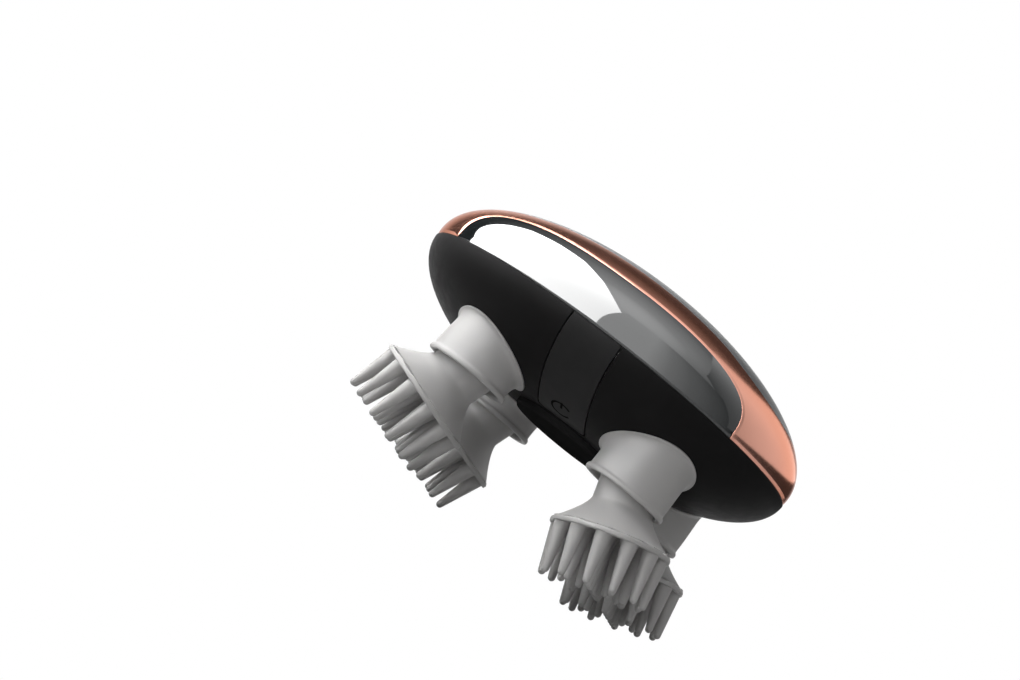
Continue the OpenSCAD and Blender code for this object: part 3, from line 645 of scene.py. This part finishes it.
def cup_profile():
    """Radius and depth of the cup's section: neck, flare, rim and the face of the fingers."""
    rim_top = RIM_H - RIM_T
    edge = RIM_R - RIM_SHY
    neck = smooth_profile([(0.5, NECK_TOP), (NECK_R, NECK_TOP), (NECK_R, 1.0)], 0.4)
    flare = [(NECK_R + (edge - NECK_R) * t ** FLARE_N, NECK_H + (rim_top - NECK_H) * t)
             for t in np.linspace(0, 1, 17)]
    rim = smooth_profile([
        (edge, rim_top - 0.01), (RIM_R, rim_top + 0.25), (RIM_R, RIM_H), (RIM_R - 1.5, RIM_H),
        (RIM_R - 1.9, FACE_H), (RIM_R - 4.0, FACE_H)], 0.32)
    return [(0.01, NECK_TOP), *neck, *flare, *rim, (5.0, FACE_H), (0.01, FACE_H)]


def finger_profile():
    """Radius and depth of a finger's section: a flared root, a tapering side and a round tip."""
    tip = FINGER_END - FINGERTIP_R
    lean = (FINGER_R - FINGERTIP_R) / (tip - FACE_H)
    shape = [(FINGER_R + 0.75, FACE_H - 0.25), (FINGER_R + 0.42, FACE_H + 0.12),
             (FINGER_R + 0.16, FACE_H + 0.5)]
    shape += [(FINGER_R - lean * h, FACE_H + h) for h in np.linspace(1.1, tip - FACE_H, 7)]
    for b in np.radians((18, 36, 54, 72, 88)):
        shape.append((FINGERTIP_R * math.cos(b), tip + FINGERTIP_R * math.sin(b)))
    return shape


def make_head(corner):
    """Silicone cup with its fingers, leaning as the CAD joint says."""
    verts, faces = lathe(cup_profile(), HEAD_SIDES)
    shape = finger_profile()
    for number, radius in FINGER_RINGS:
        for k in range(number):
            a = 2 * math.pi * k / number
            spot = (radius * math.cos(a), radius * math.sin(a))
            finger_verts, finger_faces = lathe(shape, FINGER_SIDES, spot)
            faces += [tuple(i + len(verts) for i in f) for f in finger_faces]
            verts += [drawn_in(v, RIM_R - 0.2) for v in finger_verts]
    roll = cad_joint(f"head_{corner}_roll")
    up = Vector(roll["axis"])
    turn = Matrix.Rotation(math.atan2(up.x, up.z), 3, "Y")
    placed = np.array(verts) @ np.array(turn).T + np.array(roll["pos_m"]) / MM
    return add_object("head_skin_" + corner, placed, faces)


# ---------- materials ----------

def new_node(tree, kind, **values):
    """A shader node with constants on its sockets; a _ in a name stands for a space."""
    made = tree.nodes.new("ShaderNode" + kind)
    for key, value in values.items():
        made.inputs[key.replace("_", " ")].default_value = value
    return made


class Look:
    """A Principled material with fine noise in its colour, roughness and height."""

    def __init__(self, name, colour, roughness, metallic=0.0, **inputs):
        self.material = bpy.data.materials.new(name)
        self.material.use_nodes = True
        self.tree = self.material.node_tree
        self.shader = self.tree.nodes["Principled BSDF"]
        self.colour = (*colour, 1.0)
        self.shader.inputs["Base Color"].default_value = self.colour
        self.shader.inputs["Roughness"].default_value = roughness
        self.shader.inputs["Metallic"].default_value = metallic
        for key, value in inputs.items():
            self.shader.inputs[key.replace("_", " ")].default_value = value
        self.roughness = roughness
        self.where = new_node(self.tree, "TexCoord").outputs["Object"]

    def noise(self, scale, detail):
        made = new_node(self.tree, "TexNoise", Scale=scale, Detail=detail, Roughness=0.5)
        self.tree.links.new(self.where, made.inputs["Vector"])
        return made.outputs["Fac"]

    def ramp(self, source, low, high):
        """The noise's usual range, stretched from low to high."""
        made = new_node(self.tree, "MapRange", From_Min=0.3, From_Max=0.7, To_Min=low, To_Max=high)
        self.tree.links.new(source, made.inputs["Value"])
        return made.outputs["Result"]

    def vary_colour(self, scale, amount):
        """Lightens and darkens the colour by a share, in soft patches."""
        factor = self.ramp(self.noise(scale, 4.0), 1 - amount, 1 + amount)
        mix = new_node(self.tree, "VectorMath")
        mix.operation = "SCALE"
        mix.inputs[0].default_value = self.colour[:3]
        self.tree.links.new(factor, mix.inputs["Scale"])
        self.tree.links.new(mix.outputs["Vector"], self.shader.inputs["Base Color"])
        return self

    def vary_roughness(self, scale, amount):
        low, high = self.roughness - amount, self.roughness + amount
        factor = self.ramp(self.noise(scale, 3.0), low, high)
        self.tree.links.new(factor, self.shader.inputs["Roughness"])
        return self

    def grain(self, scale, height):
        """Fine bumps, height in metres."""
        bump = new_node(self.tree, "Bump", Strength=1.0, Distance=height)
        self.tree.links.new(self.noise(scale, 2.0), bump.inputs["Height"])
        self.tree.links.new(bump.outputs["Normal"], self.shader.inputs["Normal"])
        return self


def moulded(name, colour, roughness=0.5):
    look = Look(name, colour, roughness)
    return look.vary_colour(60, 0.06).vary_roughness(220, 0.05).grain(2200, 1e-5)


def metal(name, colour, roughness=0.3):
    look = Look(name, colour, roughness, 1.0)
    return look.vary_colour(150, 0.05).vary_roughness(600, 0.07).grain(3500, 4e-6)


LOOKS = {
    "copper": Look("copper_lacquer", (0.38, 0.19, 0.145), 0.17, 1.0,
                   Specular_Tint=(0.85, 0.6, 0.52, 1))
    .vary_colour(40, 0.05).vary_roughness(1400, 0.03).grain(5200, 2.5e-6),
    "panel": Look("dark_grey_lacquer", (0.06, 0.062, 0.065), 0.3, 0.3, Specular_IOR_Level=0.3)
    .vary_colour(50, 0.06).vary_roughness(120, 0.015).grain(4200, 3e-6),
    "window": Look("black_gloss", (0.006, 0.009, 0.01), 0.035)
    .vary_colour(30, 0.2).vary_roughness(700, 0.012),
    "soft_black": Look("soft_touch_black", (0.013, 0.0127, 0.0129), 0.48, Specular_IOR_Level=0.01)
    .vary_colour(55, 0.12).vary_roughness(420, 0.05).grain(5200, 1.2e-5),
    "key": Look("soft_touch_charcoal", (0.03, 0.0296, 0.03), 0.46, Specular_IOR_Level=0.01)
    .vary_colour(55, 0.1).vary_roughness(420, 0.05).grain(5200, 1.2e-5),
    "icon": Look("icon_black", (0.006, 0.0055, 0.0058), 0.5, Specular_IOR_Level=0.0)
    .vary_colour(80, 0.1).vary_roughness(500, 0.05),
    "plate": Look("textured_grey", (0.022, 0.022, 0.0222), 0.55, Specular_IOR_Level=0.0)
    .vary_colour(60, 0.1).vary_roughness(300, 0.06).grain(2600, 3e-5),
    "silicone": Look("grey_silicone", (0.43, 0.423, 0.417), 0.52, Specular_IOR_Level=0.15)
    .vary_colour(45, 0.045).vary_roughness(260, 0.06).grain(3400, 1e-5),
    "dark": moulded("moulded_black", (0.02, 0.02, 0.021)),
    "grey": moulded("moulded_grey", (0.55, 0.54, 0.5)),
    "core": moulded("moulded_core", (0.28, 0.28, 0.29)),
    "acetal": moulded("white_acetal", (0.75, 0.74, 0.7), 0.38),
    "rubber": moulded("black_rubber", (0.015, 0.015, 0.015), 0.75),
    "sleeve": moulded("blue_sleeve", (0.04, 0.13, 0.3), 0.3),
    "board": moulded("green_board", (0.02, 0.11, 0.04), 0.4),
    "steel": metal("ground_steel", (0.56, 0.57, 0.58)),
    "zinc": metal("zinc_plate", (0.6, 0.6, 0.59), 0.35),
    "bronze": metal("sintered_bronze", (0.5, 0.33, 0.16), 0.42),
    "can": metal("drawn_steel", (0.5, 0.51, 0.52), 0.36),
    "alloy": metal("stamped_alloy", (0.55, 0.56, 0.57), 0.4),
}

SLOT_LOOKS = {
    "housing_black": "soft_black", "key_charcoal": "key", "copper_shell": "copper",
    "panel_grey": "panel", "window_black": "window", "plate_grey": "plate",
    "gasket_black": "rubber", "silicone_collar": "silicone", "silicone_head": "silicone",
    "inner_black": "dark", "inner_grey": "grey", "core_grey": "core", "acetal": "acetal",
    "steel": "steel", "screw_steel": "zinc", "bronze": "bronze", "motor_steel": "can",
    "motor_plate_metal": "alloy", "cell_wrap": "sleeve", "board_green": "board",
    "switch_grey": "dark", "port_steel": "zinc",
}


def wear(piece, look):
    """Puts one look on a whole piece."""
    material = LOOKS[look].material
    materials = piece.data.materials
    if not materials:
        materials.append(material)
    for k in range(len(materials)):
        materials[k] = material


node_slots = {s["node"]: s["material_slot"] for s in frame["record"]["subparts"]}
for node, piece in frame["nodes"].items():
    wear(piece, SLOT_LOOKS[node_slots[node]])


# ---------- the visible pieces ----------

def place(piece, body, slot, look, *nodes):
    """Puts a new piece on a body, instead of the CAD nodes that it replaces."""
    wear(piece, look)
    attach(piece, body)
    if nodes:
        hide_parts(*nodes)


place(make_upper_shell(), "casing", "copper_shell", "copper", "upper_shell")
place(make_panel(), "casing", "panel_grey", "panel", "top_panel")
for end, side in (("front", -1), ("back", 1)):
    window = make_window("window_skin_" + end, side)
    place(window, "casing", "window_black", "window", "window_" + end)
place(make_housing(), "casing", "housing_black", "soft_black", "lower_housing")
place(make_key(), "power_key", "key_charcoal", "key", "power_key")
for corner in CORNERS:
    collar, head = make_collar(corner), make_head(corner)
    place(collar, "casing", "silicone_collar", "silicone", "collar_" + corner)
    place(head, "head_" + corner, "silicone_head", "silicone", "head_cup_" + corner)
place(make_icon(), "power_key", "key_charcoal", "icon")


# ---------- camera, floor, backdrop and light; azimuths and elevations in degrees ----------

CAMERA_AT = (147.4, -622.2, -36.9)
CAMERA_AZ, CAMERA_EL, CAMERA_ROLL = 15.472, -7.109, 39.155
LENS = 89.9
CENTRE = Vector((0, 0, 0.055))

FLOOR_SIZE = 3.0
# Colour and glow of the floor, first to the eye and in reflections, then to diffuse rays
FLOOR_GREYS = (0.86, 0.2)
FLOOR_GLOWS = (0.6, 0.0)

# Light of the world on diffuse surfaces. Reflections see a sky that brightens towards
# SKY_HEADING, as (how squarely a ray points there, level) pairs, and white at BACK_HEADING
AMBIENT = 0.2
SKY_HEADING = (-110, 65)
SKY_LEVELS = (
    (0.0, 0.1), (0.4, 0.12), (0.58, 0.5), (0.7, 1.1), (0.82, 2.2), (0.9, 3.3), (0.95, 5.0),
    (1.0, 6.5))
BACK_HEADING = (112, 0)
BACK_FROM, BACK_TO = 0.84, 0.92

# Name, heading as azimuth, distance and height in metres, side in metres, power
LAMPS = (
    ("key_light", (-155, 0.7, 0.6), 0.4, 4.6),
    ("fill_light", (-70, 0.8, 0.25), 0.5, 0.6),
)
# Cards seen in reflections only: name, azimuth, (across, height) corners in metres,
# (across, share of the strength) pairs, strength
CARD_REACH = 0.6
CARDS = (
    ("softbox_left", -145,
     ((-0.48, 0.002), (0.65, 0.002), (0.64, 1.02), (-0.2, 1.92), (-1.1, 2.55), (-1.5, 2.3),
      (-1.57, 1.75), (-1.2, 1.15), (-0.72, 0.5), (-0.57, 0.3), (-0.47, 0.14)),
     ((-1.6, 1.0), (0.0, 1.0), (0.6, 0.8)), 25),
    ("softbox_front", -75,
     ((-0.28, 0.002), (0.9, 0.002), (0.9, 1.0), (0.3, 1.1), (-0.28, 1.1)),
     ((-0.3, 1.0), (0.0, 0.95), (0.13, 0.55), (0.28, 0.34), (0.5, 0.2), (0.9, 0.07)), 5.4),
    ("softbox_right", 30,
     ((-0.95, 0.1), (0.78, 0.3), (0.74, 0.75), (0.63, 0.98), (0.61, 1.24), (0.67, 1.52),
      (0.83, 1.88), (0.2, 2.08), (-0.95, 2.08)),
     ((-1.0, 0.4), (-0.4, 0.7), (0.2, 1.0), (0.9, 1.0)), 2.0),
)


def pointing(azimuth, elevation):
    a, e = math.radians(azimuth), math.radians(elevation)
    return Vector((math.cos(a) * math.cos(e), math.sin(a) * math.cos(e), math.sin(e)))


def heading(azimuth, reach, height=0.0):
    """Place at a heading round the object, in metres."""
    a = math.radians(azimuth)
    return Vector((reach * math.cos(a), reach * math.sin(a), height))


def grey(level):
    return (level, level, level, 1)


def fill_ramp(node, stops):
    """Sets a colour ramp's stops from (position, level) pairs."""
    elements = node.color_ramp.elements
    elements.remove(elements[1])
    for number, (at, level) in enumerate(stops):
        element = elements[0] if number == 0 else elements.new(at)
        element.position = at
        element.color = grey(level)


def mix_shaders(tree, factor, first, second):
    made = new_node(tree, "MixShader")
    tree.links.new(factor, made.inputs["Fac"])
    tree.links.new(first.outputs[0], made.inputs[1])
    tree.links.new(second.outputs[0], made.inputs[2])
    return made


def make_camera():
    az, el, roll = map(math.radians, (CAMERA_AZ, CAMERA_EL, CAMERA_ROLL))
    back = Vector((math.sin(az) * math.cos(el), -math.cos(az) * math.cos(el), math.sin(el)))
    level = Vector((math.cos(az), math.sin(az), 0))
    upright = back.cross(level)
    right = level * math.cos(roll) + upright * math.sin(roll)
    up = upright * math.cos(roll) - level * math.sin(roll)
    data = bpy.data.cameras.new("camera")
    data.lens = LENS
    data.sensor_width = 36
    data.clip_start = 0.01
    camera = in_scene("camera", data)
    turn = Matrix((right, up, back)).transposed().to_4x4()
    camera.matrix_world = Matrix.Translation(Vector(CAMERA_AT) * MM) @ turn
    bpy.context.scene.camera = camera


def make_floor():
    """Pale floor, clear when the camera looks at it from below."""
    s = FLOOR_SIZE
    mesh = bpy.data.meshes.new("floor")
    mesh.from_pydata([(-s, -s, 0), (s, -s, 0), (s, s, 0), (-s, s, 0)], [], [(0, 1, 2, 3)])
    floor = in_scene("floor", mesh)
    material = bpy.data.materials.new("pale_floor")
    material.use_nodes = True
    tree = material.node_tree
    link = tree.links.new
    rays = new_node(tree, "LightPath")
    shader = tree.nodes["Principled BSDF"]
    shader.inputs["Roughness"].default_value = 0.85
    shader.inputs["Emission Color"].default_value = grey(1)
    colour = new_node(tree, "Mix")
    colour.data_type = "RGBA"
    colour.inputs["A"].default_value = grey(FLOOR_GREYS[0])
    colour.inputs["B"].default_value = grey(FLOOR_GREYS[1])
    link(rays.outputs["Is Diffuse Ray"], colour.inputs["Factor"])
    link(colour.outputs["Result"], shader.inputs["Base Color"])
    glow = new_node(tree, "MapRange", To_Min=FLOOR_GLOWS[0], To_Max=FLOOR_GLOWS[1])
    link(rays.outputs["Is Diffuse Ray"], glow.inputs["Value"])
    link(glow.outputs["Result"], shader.inputs["Emission Strength"])
    below = new_node(tree, "Math")
    below.operation = "MULTIPLY"
    link(rays.outputs["Is Camera Ray"], below.inputs[0])
    link(new_node(tree, "NewGeometry").outputs["Backfacing"], below.inputs[1])
    mix = mix_shaders(tree, below.outputs[0], shader, new_node(tree, "BsdfTransparent"))
    link(mix.outputs[0], tree.nodes["Material Output"].inputs["Surface"])
    mesh.materials.append(material)


def make_world():
    """White to the camera, dim to diffuse surfaces, and a sky of its own to reflections."""
    world = bpy.data.worlds.new("studio")
    bpy.context.scene.world = world
    world.use_nodes = True
    tree = world.node_tree
    tree.nodes.clear()
    link = tree.links.new
    rays = new_node(tree, "LightPath")
    ray = new_node(tree, "TexCoord")

    def background(strength):
        return new_node(tree, "Background", Color=(1, 1, 1, 1), Strength=strength)

    def towards(azimuth, elevation):
        """How squarely a ray points at a heading: 1 straight at it."""
        dot = new_node(tree, "VectorMath")
        dot.operation = "DOT_PRODUCT"
        dot.inputs[1].default_value = pointing(azimuth, elevation)
        link(ray.outputs["Generated"], dot.inputs[0])
        return dot.outputs["Value"]

    top = SKY_LEVELS[-1][1]
    ramp = new_node(tree, "ValToRGB")
    fill_ramp(ramp, [(at, level / top) for at, level in SKY_LEVELS])
    link(towards(*SKY_HEADING), ramp.inputs["Fac"])
    sky = background(top)
    link(ramp.outputs["Color"], sky.inputs["Color"])
    behind = new_node(tree, "MapRange", From_Min=BACK_FROM, From_Max=BACK_TO)
    link(towards(*BACK_HEADING), behind.inputs["Value"])
    mirrored = mix_shaders(tree, behind.outputs["Result"], sky, background(1.0))
    lit = mix_shaders(tree, rays.outputs["Is Glossy Ray"], background(AMBIENT), mirrored)
    seen = new_node(tree, "Math")
    seen.operation = "MAXIMUM"
    link(rays.outputs["Is Camera Ray"], seen.inputs[0])
    link(rays.outputs["Is Transmission Ray"], seen.inputs[1])
    final = mix_shaders(tree, seen.outputs[0], lit, background(1.0))
    link(final.outputs[0], new_node(tree, "OutputWorld").inputs["Surface"])


def make_lamp(name, spot, side, power):
    """Square lamp that faces the object and shows in no reflection."""
    data = bpy.data.lights.new(name, "AREA")
    data.shape = "RECTANGLE"
    data.size = data.size_y = side
    data.energy = power
    lamp = in_scene(name, data)
    lamp.location = heading(*spot)
    lamp.rotation_mode = "QUATERNION"
    lamp.rotation_quaternion = (CENTRE - heading(*spot)).to_track_quat("-Z", "Y")
    lamp.visible_camera = False
    lamp.visible_glossy = False


def make_card(name, azimuth, outline, fades, strength):
    """Upright card, seen in reflections only."""
    middle = heading(azimuth, CARD_REACH)
    sideways = heading(azimuth + 90, 1.0)
    mesh = bpy.data.meshes.new(name)
    corners = [tuple(middle + sideways * x + Vector((0, 0, z))) for x, z in outline]
    mesh.from_pydata(corners, [], [range(len(corners))])
    low, high = fades[0][0], fades[-1][0]
    uv = mesh.uv_layers.new(name="across")
    for k, (x, _) in enumerate(outline):
        uv.data[k].uv = ((x - low) / (high - low), 0.5)
    card = in_scene(name, mesh)
    card.visible_camera = False
    card.visible_diffuse = False
    card.visible_shadow = False
    material = bpy.data.materials.new(name)
    material.use_nodes = True
    tree = material.node_tree
    tree.nodes.clear()
    link = tree.links.new
    split = new_node(tree, "SeparateXYZ")
    link(new_node(tree, "TexCoord").outputs["UV"], split.inputs[0])
    ramp = new_node(tree, "ValToRGB")
    fill_ramp(ramp, [((at - low) / (high - low), level) for at, level in fades])
    link(split.outputs["X"], ramp.inputs["Fac"])
    glow = new_node(tree, "Emission", Strength=strength)
    link(ramp.outputs["Color"], glow.inputs["Color"])
    link(glow.outputs[0], new_node(tree, "OutputMaterial").inputs["Surface"])
    mesh.materials.append(material)


make_camera()
make_floor()
make_world()
for lamp in LAMPS:
    make_lamp(*lamp)
for card in CARDS:
    make_card(*card)
bpy.context.scene.view_settings.view_transform = "Standard"
